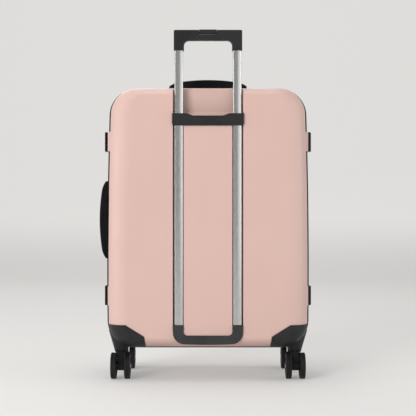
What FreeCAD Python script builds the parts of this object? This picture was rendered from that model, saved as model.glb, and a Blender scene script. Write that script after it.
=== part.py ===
import FreeCAD, Part
import math
import os
import re
import Sketcher
from FreeCAD import Rotation, Vector

# Hard shell suitcase on four twin-wheel casters, with a telescopic trolley handle.
#
# Frame: +Z is up and the origin is on the floor, midway between the casters. The seam between
# the two halves is the plane Y = 0. The rear half, which carries the trolley, is on -Y, and the
# front half, the lid, on +Y. The hinges are on +X, the latches and the side handle on -X.

# ---------------------------------------------------------------- driving dimensions, in mm

SIZES = {
    # outline of the case at the seam
    "case_half_width": 229.5,
    "case_top": 654.7,
    "case_bottom": 65.7,
    "case_corner": 59,
    "side_bow": 11000,
    "bow_level": 250,
    # depth of one half, its drafts in degrees and the rounding round its outer face
    "half_depth": 130,
    "draft_angle": 4.5,
    "top_draft_angle": 2.8,
    "side_rounding": 42,
    "top_rounding": 18,
    "bottom_rounding": 22,
    "wall": 2.6,
    # frame and seal
    "frame_proud": 3,
    "frame_depth": 11,
    "frame_web": 4,
    "frame_lip": 2.5,
    "seam_gap": 0.3,
    "seal_width": 3,
    "seal_depth": 2,
    "frame_round": 0.8,
    # lining and packing straps
    "lining_gap": 0.6,
    "lining_thick": 1.2,
    "strap_width": 25,
    "strap_thick": 1.6,
    "strap_depth": 21,
    "strap_rise": 150,
    "buckle_width": 62,
    "buckle_height": 36,
    "buckle_thick": 8,
    "buckle_corner": 8,
    "buckle_edge": 1.5,
    # trolley channels and the recess that takes the grip
    "tube_reach": 64.4,
    "tube_depth": 123.25,
    "channel_inner": 53.5,
    "channel_outer": 77.5,
    "channel_floor": 112.5,
    "channel_bottom": 82,
    "groove_top": 103,
    "groove_lap": 5,
    "recess_floor": 107,
    "scoop_depth": 100,
    "scoop_top_depth": 111,
    "scoop_turn": 6,
    "run_out": 12,
    # trolley tubes
    "tube_width": 20.6,
    "tube_thick": 15.5,
    "tube_wall": 0.7,
    "tube_bottom": 106,
    "tube_top": 588,
    "tube_corner": 4.5,
    "tube_bow": 1.6,
    "slider_width": 19,
    "slider_thick": 13.9,
    "slider_wall": 0.8,
    "slider_bottom": 280,
    "slider_top": 745,
    "slider_corner": 3.8,
    # bridge that guides the tubes
    "bridge_half": 79,
    "bridge_bottom": 564.5,
    "bridge_top": 591.3,
    "bridge_dip": 5,
    "bridge_shoulder": 47,
    "bridge_slope": 13.5,
    "bridge_face": 135,
    "bridge_corner": 3,
    "bridge_edge": 1.2,
    # base that holds the lower ends of the tubes
    "base_half": 76.8,
    "base_leg_inner": 53.9,
    "base_bottom": 84.6,
    "base_bow": 2.4,
    "base_bar_top": 102.3,
    "base_top": 125.6,
    "base_face": 134,
    "base_outer_round": 25,
    "base_inner_round": 9,
    "base_edge": 1.5,
    "base_overlap": 12,
    # trolley grip and its button
    "grip_half": 75.3,
    "grip_bottom": 730,
    "grip_top": 774.6,
    "grip_bar": 22.4,
    "grip_leg": 22.2,
    "grip_thick": 24,
    "grip_inner_round": 11.5,
    "grip_outer_round": 3.5,
    "grip_soft_round": 3,
    "button_half": 20,
    "button_wrap": 8,
    "button_rise": 0.3,
    "button_travel": 2.5,
    "button_taper": 1.5,
    "button_proud": 0.8,
    "button_gap": 0.3,
    "button_edge": 1.2,
    "button_back": 7,
    "yoke_height": 4,
    "yoke_half": 2.5,
    "rod_radius": 1.6,
    "rod_bottom": 294,
    "lock_pin_radius": 1.8,
    "lock_pin_level": 285.5,
    "plug_top": 310,
    # screws that hold the bridge and the base to the shell
    "screw_radius": 1.6,
    "screw_head": 3.5,
    "screw_head_thick": 2,
    "screw_bite": 7,
    "screw_inset": 14,
    # corner housings and skid strip
    "housing_proud": 1.5,
    "housing_inset": 0.6,
    "housing_start": 24,
    "housing_top": 124,
    "housing_shoulder": 181.4,
    "housing_shoulder_top": 125.1,
    "housing_inner": 138.3,
    "housing_inner_top": 99.6,
    "housing_corner": 4,
    "socket_radius": 14.8,
    "socket_flare": 27.6,
    "socket_flare_top": 108,
    "socket_bottom": 64,
    "sleeve_radius": 8,
    "sleeve_top": 92,
    "skid_near": 88,
    "skid_far": 100,
    # casters
    "caster_reach": 196,
    "swivel_depth": 67,
    "axle_depth": 80,
    "wheel_radius": 29.3,
    "wheel_width": 12.3,
    "wheel_offset": 15.3,
    "tyre_round": 2.2,
    "axle_radius": 3,
    "axle_cap": 5.6,
    "axle_cap_thick": 1.3,
    "axle_gap": 0.3,
    "dish_depth": 1.8,
    "dish_inner": 10.5,
    "dish_outer": 20,
    "dish_slope": 1.5,
    "fork_width": 17.7,
    "fork_boss": 10.5,
    "fork_waist": 11.8,
    "fork_hood": 14.8,
    "fork_hood_low": 13.4,
    "fork_hood_bottom": 59.1,
    "fork_hood_top": 63.6,
    "fork_waist_round": 4,
    "kingpin_radius": 4,
    "kingpin_top": 88,
    "running_gap": 0.05,
    # hinges, on +X, and latches, on -X
    "fitting_half": 22,
    "fitting_upper": 535.3,
    "fitting_lower": 181.4,
    "pad_face": 229.8,
    "pad_far": 36,
    "pad_root": 45,
    "pad_slope": 10,
    "pad_fall": 7,
    "pad_edge": 1.5,
    "hinge_reach": 236,
    "knuckle_radius": 2.5,
    "hinge_pin": 1.2,
    "leaf_depth": 20,
    "plate_reach": 4.5,
    "leaf_face": 235.4,
    "lever_face": 237.2,
    "lever_thick": 2.1,
    "lever_near": 16,
    "lever_pivot": 15.5,
    "latch_pin": 1,
    "latch_eye": 1.7,
    "ear_height": 4,
    "ear_half": 3,
    "lever_rim": 1.6,
    "knuckle_gap": 0.15,
    "fitting_face": 233.7,
    "fitting_gap": 0.6,
    # carry handles
    "top_handle_depth": 35,
    "side_handle_depth": 30,
    "side_handle_level": 356.2,
    "handle_half": 88,
    "handle_rise": 18.6,
    "handle_drop": 5,
    "handle_end": 22,
    "handle_tip": 4.2,
    "handle_breadth": 24,
    "handle_round": 3.8,
    "handle_base": 655.9,
    "side_handle_base": 228.6,
    "leg_breadth": 8,
    "leg_width": 12.5,
    "leg_length": 25,
    "leg_inset": 15.6,
    "guide_wall": 2.5,
    "guide_run": 10,
    "bezel_breadth": 30,
    "bezel_half": 13,
    "bezel_depth": 16,
    "bezel_gap": 0.5,
    "slot_gap": 0.4,
}

ROUNDING_STEPS = 10
Y_AXIS = Vector(0, 1, 0)
Z_AXIS = Vector(0, 0, 1)

doc = FreeCAD.newDocument("Suitcase")
sheet = doc.addObject("Spreadsheet::Sheet", "Dims")
for row, (alias, number) in enumerate(SIZES.items(), start=1):
    sheet.set(f"A{row}", alias)
    sheet.set(f"B{row}", str(number))
    sheet.setAlias(f"B{row}", alias)
doc.recompute()

sub_parts = []


# ---------------------------------------------------------------- formulas and small helpers

def linked(formula):
    """The formula with each plain name in it turned into a reference to the sheet."""
    return re.sub(r"\b[a-z][a-z_]{3,}\b(?!\()", lambda word: "Dims." + word.group(0), str(formula))


def value(formula):
    """The number that a formula has now."""
    return float(sheet.evalExpression(linked(formula)))


def bind(item, prop, formula):
    item.setExpression(prop, linked(formula))


def place(item, x="0", y="0", z="0"):
    for axis, formula in zip("xyz", (x, y, z)):
        bind(item, f".Placement.Base.{axis}", formula)


def sub_part(item, label):
    """Mark an object as one of the separate pieces, under the name of its file."""
    item.Label = label
    sub_parts.append(item)
    return item


def box(name, x, y, z):
    """Box between the low and high formulas along each axis."""
    item = doc.addObject("Part::Box", name)
    for prop, (low, high) in zip(("Length", "Width", "Height"), (x, y, z)):
        bind(item, prop, f"({high}) - ({low})")
    place(item, x[0], y[0], z[0])
    return item


TURNS = {
    "X": Rotation(Vector(0, 1, 0), 90),
    "Y": Rotation(Vector(1, 0, 0), -90),
    "Z": Rotation(),
}


def cylinder(name, along, centre, radius, low, high):
    """Cylinder along an axis from low to high; centre gives the other two places in order."""
    item = doc.addObject("Part::Cylinder", name)
    item.Placement = FreeCAD.Placement(Vector(), TURNS[along])
    bind(item, "Radius", radius)
    bind(item, "Height", f"({high}) - ({low})")
    spots = list(centre)
    spots.insert("XYZ".index(along), low)
    place(item, *spots)
    return item


def fuse(name, *items):
    item = doc.addObject("Part::MultiFuse", name)
    item.Shapes = list(items)
    return item


def cut(name, base, *tools):
    item = doc.addObject("Part::Cut", name)
    item.Base = base
    item.Tool = tools[0] if len(tools) == 1 else fuse(name + "_tools", *tools)
    return item


def common(name, first, second):
    item = doc.addObject("Part::Common", name)
    item.Base = first
    item.Tool = second
    return item


def mirror(name, source, normal, offset="0"):
    """Mirror image across the plane with this normal, the offset away from the origin."""
    item = doc.addObject("Part::Mirroring", name)
    item.Source = source
    item.Normal = normal
    axis = "xyz"[[abs(part) for part in normal].index(1)]
    bind(item, f".Base.{axis}", offset)
    return item


def left_copy(name, source):
    return mirror(name, source, Vector(1, 0, 0))


def front_copy(name, source):
    return mirror(name, source, Vector(0, 1, 0), "seam_gap / 2")


def new_body(name):
    return doc.addObject("PartDesign::Body", name)


def new_sketch(body, name, role, offset="0"):
    """Sketch on a plane of the body's own origin, moved along the plane's normal."""
    sketch = body.newObject("Sketcher::SketchObject", name)
    plane = [item for item in body.Origin.OriginFeatures if item.Role == role][0]
    sketch.AttachmentSupport = (plane, "")
    sketch.MapMode = "FlatFace"
    bind(sketch, ".AttachmentOffset.Base.z", offset)
    return sketch


def fix_point(sketch, edge, end, spot, label):
    """Hold a sketch point at the formulas in spot."""
    for kind, axis, formula in zip(("DistanceX", "DistanceY"), "XY", spot):
        distance = Sketcher.Constraint(kind, -1, 1, edge, end, value(formula))
        index = sketch.addConstraint(distance)
        sketch.renameConstraint(index, label + axis)
        bind(sketch, f"Constraints.{label}{axis}", formula)


def polygon(body, name, role, points, offset="0", bows=None):
    """Closed sketch through the points, each a pair of formulas, in counter-clockwise order.

    An edge whose number is in bows is an arc, and its middle bulges outward by that formula.
    """
    sketch = new_sketch(body, name, role, offset)
    bows = bows or {}
    spots = [Vector(value(across), value(along), 0) for across, along in points]
    count = len(points)
    for index, spot in enumerate(spots):
        after = spots[(index + 1) % count]
        if index in bows:
            span = after - spot
            outward = Vector(span.y, -span.x, 0).normalize()
            top = (spot + after) * 0.5 + outward * value(bows[index])
            sketch.addGeometry(Part.Arc(spot, top, after), False)
        else:
            sketch.addGeometry(Part.LineSegment(spot, after), False)
    for index, point in enumerate(points):
        sketch.addConstraint(Sketcher.Constraint("Coincident", index, 2, (index + 1) % count, 1))
        fix_point(sketch, index, 1, point, f"corner{index}")
    for index, bow in bows.items():
        (x_start, y_start), (x_end, y_end) = points[index], points[(index + 1) % count]
        chord = f"((({x_end}) - ({x_start}))^2 + (({y_end}) - ({y_start}))^2)"
        radius = f"{chord} / (8 * ({bow})) + ({bow}) / 2"
        constraint = sketch.addConstraint(Sketcher.Constraint("Radius", index, value(radius)))
        sketch.renameConstraint(constraint, f"bow{index}")
        bind(sketch, f"Constraints.bow{index}", radius)
    return sketch


def pad(body, sketch, length, reverse=False):
    item = body.newObject("PartDesign::Pad", sketch.Name + "_pad")
    item.Profile = sketch
    item.Reversed = reverse
    bind(item, "Length", length)
    doc.recompute()
    return item


def pocket(body, sketch, length, reverse=False):
    item = body.newObject("PartDesign::Pocket", sketch.Name + "_pocket")
    item.Profile = sketch
    item.Reversed = reverse
    bind(item, "Length", length)
    doc.recompute()
    return item


def round_edges(body, name, radius, wanted):
    """Fillet the edges of the body's tip that wanted(edge) picks."""
    tip = body.Tip
    edges = [f"Edge{index}" for index, edge in enumerate(tip.Shape.Edges, start=1) if wanted(edge)]
    item = body.newObject("PartDesign::Fillet", name)
    item.Base = (tip, edges)
    bind(item, "Radius", radius)
    doc.recompute()
    return item


def runs_along(edge, axis):
    """True for a straight edge parallel to the axis."""
    if edge.Curve.TypeId != "Part::GeomLine":
        return False
    return abs(edge.Curve.Direction.dot(axis)) > 0.999


def middle(edge):
    return edge.valueAt((edge.FirstParameter + edge.LastParameter) / 2)


# ---------------------------------------------------------------- the case outline

def outline(body, name, depth, side, top, bottom, corner):
    """Case outline at a depth behind the seam, moved in by side, top and bottom."""
    sketch = new_sketch(body, name, "XZ_Plane", depth)
    half = f"(case_half_width - ({side}))"
    bow = value("side_bow")
    level = value("bow_level")
    radius = value(corner)
    centre = value(half) - bow
    high = value(f"case_top - ({top})")
    low = value(f"case_bottom + ({bottom})")

    def corner_centre(edge_height, sign):
        height = edge_height - sign * radius
        reach = centre + math.sqrt((bow - radius) ** 2 - (height - level) ** 2)
        return Vector(reach, height, 0)

    def arc(middle_point, size, start, end):
        return Part.ArcOfCircle(Part.Circle(middle_point, Z_AXIS, size), start, end)

    upper = corner_centre(high, 1)
    lower = corner_centre(low, -1)
    upper_left = Vector(-upper.x, upper.y, 0)
    lower_left = Vector(-lower.x, lower.y, 0)
    turn_up = math.atan2(upper.y - level, upper.x - centre)
    turn_down = math.atan2(lower.y - level, lower.x - centre)
    quarter = math.pi / 2
    sketch.addGeometry([
        Part.LineSegment(Vector(upper.x, high, 0), Vector(-upper.x, high, 0)),
        arc(upper_left, radius, quarter, math.pi - turn_up),
        arc(Vector(-centre, level, 0), bow, math.pi - turn_up, math.pi - turn_down),
        arc(lower_left, radius, math.pi - turn_down, 3 * quarter),
        Part.LineSegment(Vector(-lower.x, low, 0), Vector(lower.x, low, 0)),
        arc(lower, radius, -quarter, turn_down),
        arc(Vector(centre, level, 0), bow, turn_down, turn_up),
        arc(upper, radius, turn_up, quarter),
    ], False)
    # each arc starts at its clockwise end, so the joins name the ends as they meet
    joins = [(0, 2, 1, 1), (1, 2, 2, 1), (2, 2, 3, 1), (3, 2, 4, 1),
             (4, 2, 5, 1), (5, 2, 6, 1), (6, 2, 7, 1), (7, 2, 0, 1)]
    for first, first_end, second, second_end in joins:
        sketch.addConstraint(Sketcher.Constraint("Tangent", first, first_end, second, second_end))
    for line in (0, 4):
        sketch.addConstraint(Sketcher.Constraint("Horizontal", line))
    for other in (3, 5, 7):
        sketch.addConstraint(Sketcher.Constraint("Equal", 1, other))
    sketch.addConstraint(Sketcher.Constraint("Equal", 2, 6))
    measures = [
        ("corner", ("Radius", 1), corner),
        ("bow", ("Radius", 2), "side_bow"),
        ("top", ("DistanceY", -1, 1, 0, 1), f"case_top - ({top})"),
        ("bottom", ("DistanceY", -1, 1, 4, 1), f"case_bottom + ({bottom})"),
        ("reachRight", ("DistanceX", 6, 3, -1, 1), f"side_bow - {half}"),
        ("reachLeft", ("DistanceX", -1, 1, 2, 3), f"side_bow - {half}"),
        ("levelRight", ("DistanceY", -1, 1, 6, 3), "bow_level"),
        ("levelLeft", ("DistanceY", -1, 1, 2, 3), "bow_level"),
    ]
    for label, kind, formula in measures:
        index = sketch.addConstraint(Sketcher.Constraint(*kind, value(formula)))
        sketch.renameConstraint(index, label)
        bind(sketch, f"Constraints.{label}", formula)
    return sketch


def drafted_outline(body, name, grow, depth, turn):
    """Outline of a half at a depth, grown by a distance, at an angle round its rounding."""
    eased = f"(1 - cos({turn}deg))"
    insets = []
    for edge, angle in (("side", "draft_angle"), ("top", "top_draft_angle"), ("bottom", "draft_angle")):
        drawn_in = f"({depth}) * tan({angle} * 1deg) - ({grow})"
        insets.append(f"{drawn_in} + ({edge}_rounding + ({grow})) * {eased}")
    corner = f"case_corner + ({grow}) - 0.6 * side_rounding * {eased}"
    return outline(body, name, depth, *insets, corner)


def case_block(name, grow, start):
    """Solid half of the case, grown by a distance, from the depth start to its outer face."""
    body = new_body(name)
    shoulder = "half_depth - side_rounding"
    near = drafted_outline(body, name + "_near", grow, start, 0)
    far = drafted_outline(body, name + "_far", grow, shoulder, 0)
    sides = body.newObject("PartDesign::AdditiveLoft", name + "_sides")
    sides.Profile = near
    sides.Sections = [far]
    sides.Ruled = True
    rings = []
    for step in range(ROUNDING_STEPS + 1):
        turn = 90 * step / ROUNDING_STEPS
        depth = f"{shoulder} + (side_rounding + ({grow})) * sin({turn}deg)"
        rings.append(drafted_outline(body, f"{name}_ring{step}", grow, depth, turn))
    rounding = body.newObject("PartDesign::AdditiveLoft", name + "_rounding")
    rounding.Profile = rings[0]
    rounding.Sections = rings[1:]
    rounding.Ruled = False
    doc.recompute()
    return body


def outline_ring(name, outer, inner, near, far):
    """Ring that follows the case outline between two insets and two depths."""
    body = new_body(name)
    outside = outline(body, name + "_outside", near, outer, outer, outer, f"case_corner - ({outer})")
    pad(body, outside, f"({far}) - ({near})")
    inside = outline(body, name + "_inside", near, inner, inner, inner, f"case_corner - ({inner})")
    pocket(body, inside, f"({far}) - ({near})", reverse=True)
    return body


# ---------------------------------------------------------------- tools that cut the rear shell

def both_sides(name, x, y, z):
    """A box on +X and its mirror image on -X."""
    right = box(name + "_right", x, y, z)
    return [right, left_copy(name + "_left", right)]


def channel_tools(name, spare, low, *more):
    """What the tubes and the grip's recess take out of the back of the case, grown by spare."""
    channels = both_sides(
        name + "_channel",
        (f"channel_inner - ({spare})", f"channel_outer + ({spare})"),
        ("-half_depth - run_out", f"-channel_floor + ({spare})"),
        (f"{low} - ({spare})", "bridge_top + 5"),
    )
    recess = new_body(name + "_recess")
    floor_points = [
        ("-half_depth - run_out", f"bridge_bottom - ({spare})"),
        (f"-recess_floor + ({spare})", f"bridge_bottom - ({spare})"),
        (f"-recess_floor + ({spare})", "bridge_top - scoop_turn"),
        (f"-scoop_depth + ({spare})", "bridge_top + scoop_turn"),
        (f"-scoop_top_depth + ({spare})", "case_top + run_out"),
        ("-half_depth - run_out", "case_top + run_out"),
    ]
    scoop = polygon(recess, name + "_recess_profile", "YZ_Plane", floor_points,
                    f"-channel_outer - ({spare})")
    pad(recess, scoop, f"2 * (channel_outer + ({spare}))")
    return fuse(name, *channels, recess, *more)


def wall_tools(name, spare):
    """The same with the base's groove, for the walls inside the case."""
    groove = box(
        name + "_groove",
        ("-channel_inner - groove_lap", "channel_inner + groove_lap"),
        ("-half_depth - run_out", f"-channel_floor + ({spare})"),
        (f"channel_bottom - ({spare})", f"groove_top + ({spare})"),
    )
    return channel_tools(name, spare, "channel_bottom", groove)


def at_casters(name, radius, low, high):
    """Upright cylinders at the two rear swivel axes."""
    right = cylinder(name + "_right", "Z", ("caster_reach", "-swivel_depth"), radius, low, high)
    return [right, left_copy(name + "_left", right)]


TOP_LEG = "handle_half - leg_inset"
SIDE_LEGS = {"low": f"side_handle_level - ({TOP_LEG})", "high": f"side_handle_level + {TOP_LEG}"}


def around(centre, breadth, spare):
    """Low and high formulas of a span with its middle at centre, grown by spare at each end."""
    return f"{centre} - {breadth} / 2 - ({spare})", f"{centre} + {breadth} / 2 + ({spare})"


def top_sockets(name, spare):
    """Boxes that guide the two legs of the top handle."""
    return both_sides(
        name,
        around(TOP_LEG, "leg_width", f"guide_wall + {spare}"),
        around("-top_handle_depth", "leg_breadth", f"guide_wall + {spare}"),
        (f"handle_base - leg_length - guide_run - ({spare})", "handle_base - bezel_gap"),
    )


def side_sockets(name, spare):
    """Boxes that guide the two legs of the side handle."""
    boxes = []
    for end, level in SIDE_LEGS.items():
        boxes.append(box(
            f"{name}_{end}",
            ("-side_handle_base + bezel_gap", f"-side_handle_base + leg_length + guide_run + ({spare})"),
            around("-side_handle_depth", "leg_breadth", f"guide_wall + {spare}"),
            around(level, "leg_width", f"guide_wall + {spare}"),
        ))
    return boxes


SCREW_SPOTS = {
    "base_left": ("-tube_reach", "(base_bottom + base_bar_top) / 2"),
    "base_right": ("tube_reach", "(base_bottom + base_bar_top) / 2"),
    "bridge_left": ("-channel_inner + screw_inset", "(bridge_bottom + bridge_top) / 2"),
    "bridge_right": ("channel_inner - screw_inset", "(bridge_bottom + bridge_top) / 2"),
}


def screw_floor(spot):
    """Depth of the shell's inner face where a screw goes in."""
    return "channel_floor - wall" if spot.startswith("base") else "recess_floor - wall"


def trolley_screws(name, spare):
    """Screws driven from inside the case into the bridge and the base."""
    screws = []
    for spot, centre in SCREW_SPOTS.items():
        floor = screw_floor(spot)
        shank = cylinder(f"{name}_{spot}_shank", "Y", centre, "screw_radius",
                         f"-({floor}) - wall - screw_bite", f"-({floor})")
        head = cylinder(f"{name}_{spot}_head", "Y", centre, f"screw_head + ({spare})",
                        f"-({floor})", f"-({floor}) + screw_head_thick + ({spare})")
        screws.append(fuse(f"{name}_{spot}", shank, head))
    return screws


def base_blank():
    """U-shaped base of the trolley, before the tubes and the screws are cut out of it."""
    body = new_body("base")
    points = [
        ("-base_half", "base_bottom"),
        ("base_half", "base_bottom"),
        ("base_half", "base_top"),
        ("base_leg_inner", "base_top"),
        ("base_leg_inner", "base_bar_top"),
        ("-base_leg_inner", "base_bar_top"),
        ("-base_leg_inner", "base_top"),
        ("-base_half", "base_top"),
    ]
    sketch = polygon(body, "base_profile", "XZ_Plane", points, "channel_floor", {0: "base_bow"})
    pad(body, sketch, "base_face - channel_floor")
    round_edges(body, "base_outer_corners", "base_outer_round", lambda edge: runs_along(edge, Y_AXIS)
                and middle(edge).z < value("base_bottom") + 1)
    round_edges(body, "base_inner_corners", "base_inner_round", lambda edge: runs_along(edge, Y_AXIS)
                and abs(middle(edge).z - value("base_bar_top")) < 1)
    round_edges(body, "base_soft", "base_edge", lambda edge: middle(edge).y < -value("base_face") + 0.01)
    return body


# ---------------------------------------------------------------- the two shells

def fitting_pads(name):
    """Flat moulded pads on both sides, under the hinges and the latches."""
    pads = []
    for level in ("fitting_upper", "fitting_lower"):
        body = new_body(f"{name}_{level}")
        points = [
            ("case_half_width - pad_root", "frame_web"),
            ("pad_face", "frame_web"),
            ("pad_face", "pad_far - pad_slope"),
            ("pad_face - pad_fall", "pad_far"),
            ("case_half_width - pad_root", "pad_far"),
        ]
        behind = [(across, f"-({along})") for across, along in points]
        sketch = polygon(body, f"{name}_{level}_profile", "XY_Plane", behind, f"{level} - fitting_half")
        pad(body, sketch, "2 * fitting_half")
        round_edges(body, f"{name}_{level}_soft", "pad_edge",
                    lambda edge: middle(edge).y < -value("pad_far") / 2
                    and middle(edge).x > value("pad_face - pad_slope"))
        pads += [body, left_copy(f"{name}_{level}_left", body)]
    return pads


skin = case_block("skin", "0", "frame_web")
hollow = case_block("hollow", "-wall", "0")
lining_skin = case_block("lining_skin", "-wall - lining_gap", "frame_depth + 1")
lining_hollow = case_block("lining_hollow", "-wall - lining_gap - lining_thick", "0")
grown_skin = case_block("grown_skin", "housing_proud", "housing_start")

padded_skin = fuse("padded_skin", skin, *fitting_pads("pad"))
plain_shell = cut("plain_shell", padded_skin, hollow)

housing_area = new_body("housing_area")
housing_points = [
    ("case_half_width + 30", "housing_top"),
    ("housing_shoulder", "housing_shoulder_top"),
    ("housing_inner + 2", "housing_inner_top"),
    ("housing_inner", "housing_inner_top - 20"),
    ("housing_inner", "socket_bottom - 30"),
    ("case_half_width + 30", "socket_bottom - 30"),
]
housing_sketch = polygon(housing_area, "housing_profile", "XZ_Plane", housing_points, "housing_start")
pad(housing_area, housing_sketch, "half_depth + 10 - housing_start")
round_edges(housing_area, "housing_corners", "housing_corner", lambda edge: runs_along(edge, Y_AXIS)
            and value("housing_inner_top") - 1 < middle(edge).z < value("housing_shoulder_top") + 1
            and middle(edge).x < value("case_half_width"))

corner_cap = common("corner_cap", grown_skin, housing_area)
socket = doc.addObject("Part::Cone", "socket")
bind(socket, "Radius1", "socket_radius")
bind(socket, "Radius2", "socket_flare")
bind(socket, "Height", "socket_flare_top - socket_bottom")
place(socket, "caster_reach", "-swivel_depth", "socket_bottom")
seat_skin = case_block("seat_skin", "-housing_inset", "frame_web")
cap_outside = cut("cap_outside", fuse("cap_and_socket", corner_cap, socket), seat_skin)
housing_seats = [cap_outside, left_copy("cap_outside_left", cap_outside)]

base_body = base_blank()
trolley_cut = channel_tools("trolley_cut", "0", "base_top - base_overlap", base_body)
trolley_walls = wall_tools("trolley_walls", "wall")
sleeves = at_casters("sleeve", "sleeve_radius", "socket_bottom", "sleeve_top")
socket_boxes = top_sockets("top_socket", "0") + side_sockets("side_socket", "0")
screws = trolley_screws("screw", "0")

rear_hollow = cut("rear_hollow", hollow, trolley_walls)
rear_blank = cut("rear_blank", padded_skin, rear_hollow)
rear_tools = [trolley_cut, *housing_seats, *sleeves, *socket_boxes, *screws]
sub_part(cut("rear_shell_shape", rear_blank, *rear_tools), "rear_shell")

front_plain = front_copy("front_plain", plain_shell)
front_tools = [front_copy(f"front_{item.Name}", item) for item in sleeves + housing_seats]
sub_part(cut("front_shell_shape", front_plain, *front_tools), "front_shell")


# ---------------------------------------------------------------- frames, seal and linings

frame_ring = outline_ring("frame_ring", "-frame_proud", "wall + frame_lip", "0", "frame_depth")
round_edges(frame_ring, "frame_soft", "frame_round",
            lambda edge: abs(middle(edge).x) > value("case_half_width") + 2
            or middle(edge).z > value("case_top") + 2 or middle(edge).z < value("case_bottom") - 2)
frame_blank = cut("frame_blank", frame_ring, plain_shell)
sub_part(front_copy("front_frame_shape", frame_blank), "front_frame")

seal = outline_ring("seal", "0", "seal_width", "0", "seal_depth")
sub_part(cut("rear_frame_shape", frame_blank, seal), "rear_frame")
sub_part(seal, "frame_seal")

lining_blank = cut("lining_blank", lining_skin, wall_tools("lining_walls", "wall + lining_gap"))
room_walls = wall_tools("lining_room_walls", "wall + lining_gap + lining_thick")
lining_room = cut("lining_room", lining_hollow, room_walls)
SLEEVE_HOLE = ("sleeve_radius + lining_gap", "socket_bottom", "sleeve_top + lining_gap")
lining_holes = at_casters("lining_sleeve", *SLEEVE_HOLE)
lining_holes += top_sockets("lining_top_socket", "lining_gap")
lining_holes += side_sockets("lining_side_socket", "lining_gap")
lining_holes += trolley_screws("lining_screw", "lining_gap")
sub_part(cut("rear_lining_shape", lining_blank, lining_room, *lining_holes), "rear_lining")

front_lining_blank = cut("front_lining_blank", lining_skin, lining_hollow)
front_lining_sleeves = at_casters("front_lining_sleeve", *SLEEVE_HOLE)
front_lining = cut("front_lining_rear", front_lining_blank, *front_lining_sleeves)
sub_part(front_copy("front_lining_shape", front_lining), "front_lining")


# ---------------------------------------------------------------- packing straps

STRAP_LEVEL = "(case_top + case_bottom) / 2"


def strap_arm(name, across, rise):
    """One elastic arm from the middle of the case out to a corner of the lining."""
    length = "case_half_width + 40"
    arm = doc.addObject("Part::Box", name)
    bind(arm, "Length", length)
    bind(arm, "Width", "strap_thick")
    bind(arm, "Height", "strap_width")
    slope = math.degrees(math.atan2(rise * value("strap_rise"), across * value("case_half_width")))
    turn = Rotation(Y_AXIS, -slope)
    start = turn.multVec(Vector(0, 0, -value("strap_width") / 2))
    arm.Placement = FreeCAD.Placement(start, turn)
    place(arm, str(start.x), "-strap_depth - strap_thick / 2", f"{STRAP_LEVEL} + ({start.z})")
    return arm


buckle_body = new_body("buckle")
buckle_points = [
    ("-buckle_width / 2", f"{STRAP_LEVEL} - buckle_height / 2"),
    ("buckle_width / 2", f"{STRAP_LEVEL} - buckle_height / 2"),
    ("buckle_width / 2", f"{STRAP_LEVEL} + buckle_height / 2"),
    ("-buckle_width / 2", f"{STRAP_LEVEL} + buckle_height / 2"),
]
buckle_sketch = polygon(buckle_body, "buckle_profile", "XZ_Plane", buckle_points,
                        "strap_depth - buckle_thick / 2")
pad(buckle_body, buckle_sketch, "buckle_thick")
round_edges(buckle_body, "buckle_corners", "buckle_corner", lambda edge: runs_along(edge, Y_AXIS))
round_edges(buckle_body, "buckle_soft", "buckle_edge", lambda edge: True)
sub_part(buckle_body, "strap_buckle")

arms = [strap_arm(f"strap_arm_{index}", across, rise)
        for index, (across, rise) in enumerate([(1, 1), (1, -1), (-1, 1), (-1, -1)])]
arm_room = common("arm_room", fuse("arm_bundle", *arms), lining_hollow)
sub_part(cut("packing_straps_shape", arm_room, buckle_body), "packing_straps")


# ---------------------------------------------------------------- wheel housings and skid strip

kingpin_bore = cylinder("kingpin_bore", "Z", ("caster_reach", "-swivel_depth"),
                        "kingpin_radius + running_gap", "socket_bottom - 5", "kingpin_top + 0.5")
housing = cut("housing_right", fuse("cap_and_sleeve", cap_outside, sleeves[0]), kingpin_bore)
housing_left = left_copy("housing_left", housing)
sub_part(housing, "wheel_housing_rear_right")
sub_part(housing_left, "wheel_housing_rear_left")
sub_part(front_copy("housing_front_right", housing), "wheel_housing_front_right")
sub_part(front_copy("housing_front_left", housing_left), "wheel_housing_front_left")

skid_area = box("skid_area", ("-housing_inner", "housing_inner"), ("-skid_far", "-skid_near"),
                ("case_bottom - 15", "case_bottom + 35"))
sub_part(cut("skid_strip_shape", common("skid_band", grown_skin, skid_area), skin), "skid_strip")


# ---------------------------------------------------------------- trolley: tubes, bridge and base

def tube_solid(name, reach, width, thick, low, high, corner):
    """Upright bar on the trolley's centre plane, with rounded corners and a bowed back and front."""
    body = new_body(name)
    left, right = f"{reach} - ({width}) / 2", f"{reach} + ({width}) / 2"
    back, front = f"-tube_depth - ({thick}) / 2 + tube_bow", f"-tube_depth + ({thick}) / 2 - tube_bow"
    points = [(left, back), (right, back), (right, front), (left, front)]
    sketch = polygon(body, name + "_section", "XY_Plane", points, low, {0: "tube_bow", 2: "tube_bow"})
    pad(body, sketch, f"({high}) - ({low})")
    round_edges(body, name + "_corners", corner, lambda edge: runs_along(edge, Z_AXIS))
    return body


def tube(name, kind, low, high):
    """Tube on +X, made as an outer bar less an inner bar."""
    wide, thick, wall, corner = (f"{kind}_{word}" for word in ("width", "thick", "wall", "corner"))
    bar = tube_solid(name + "_bar", "tube_reach", wide, thick, low, high, corner)
    room = tube_solid(name + "_room", "tube_reach", f"{wide} - 2 * {wall}", f"{thick} - 2 * {wall}",
                      f"{low} - run_out", f"{high} + run_out", f"{corner} - {wall}")
    return bar, room, cut(name + "_shape", bar, room)


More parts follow.
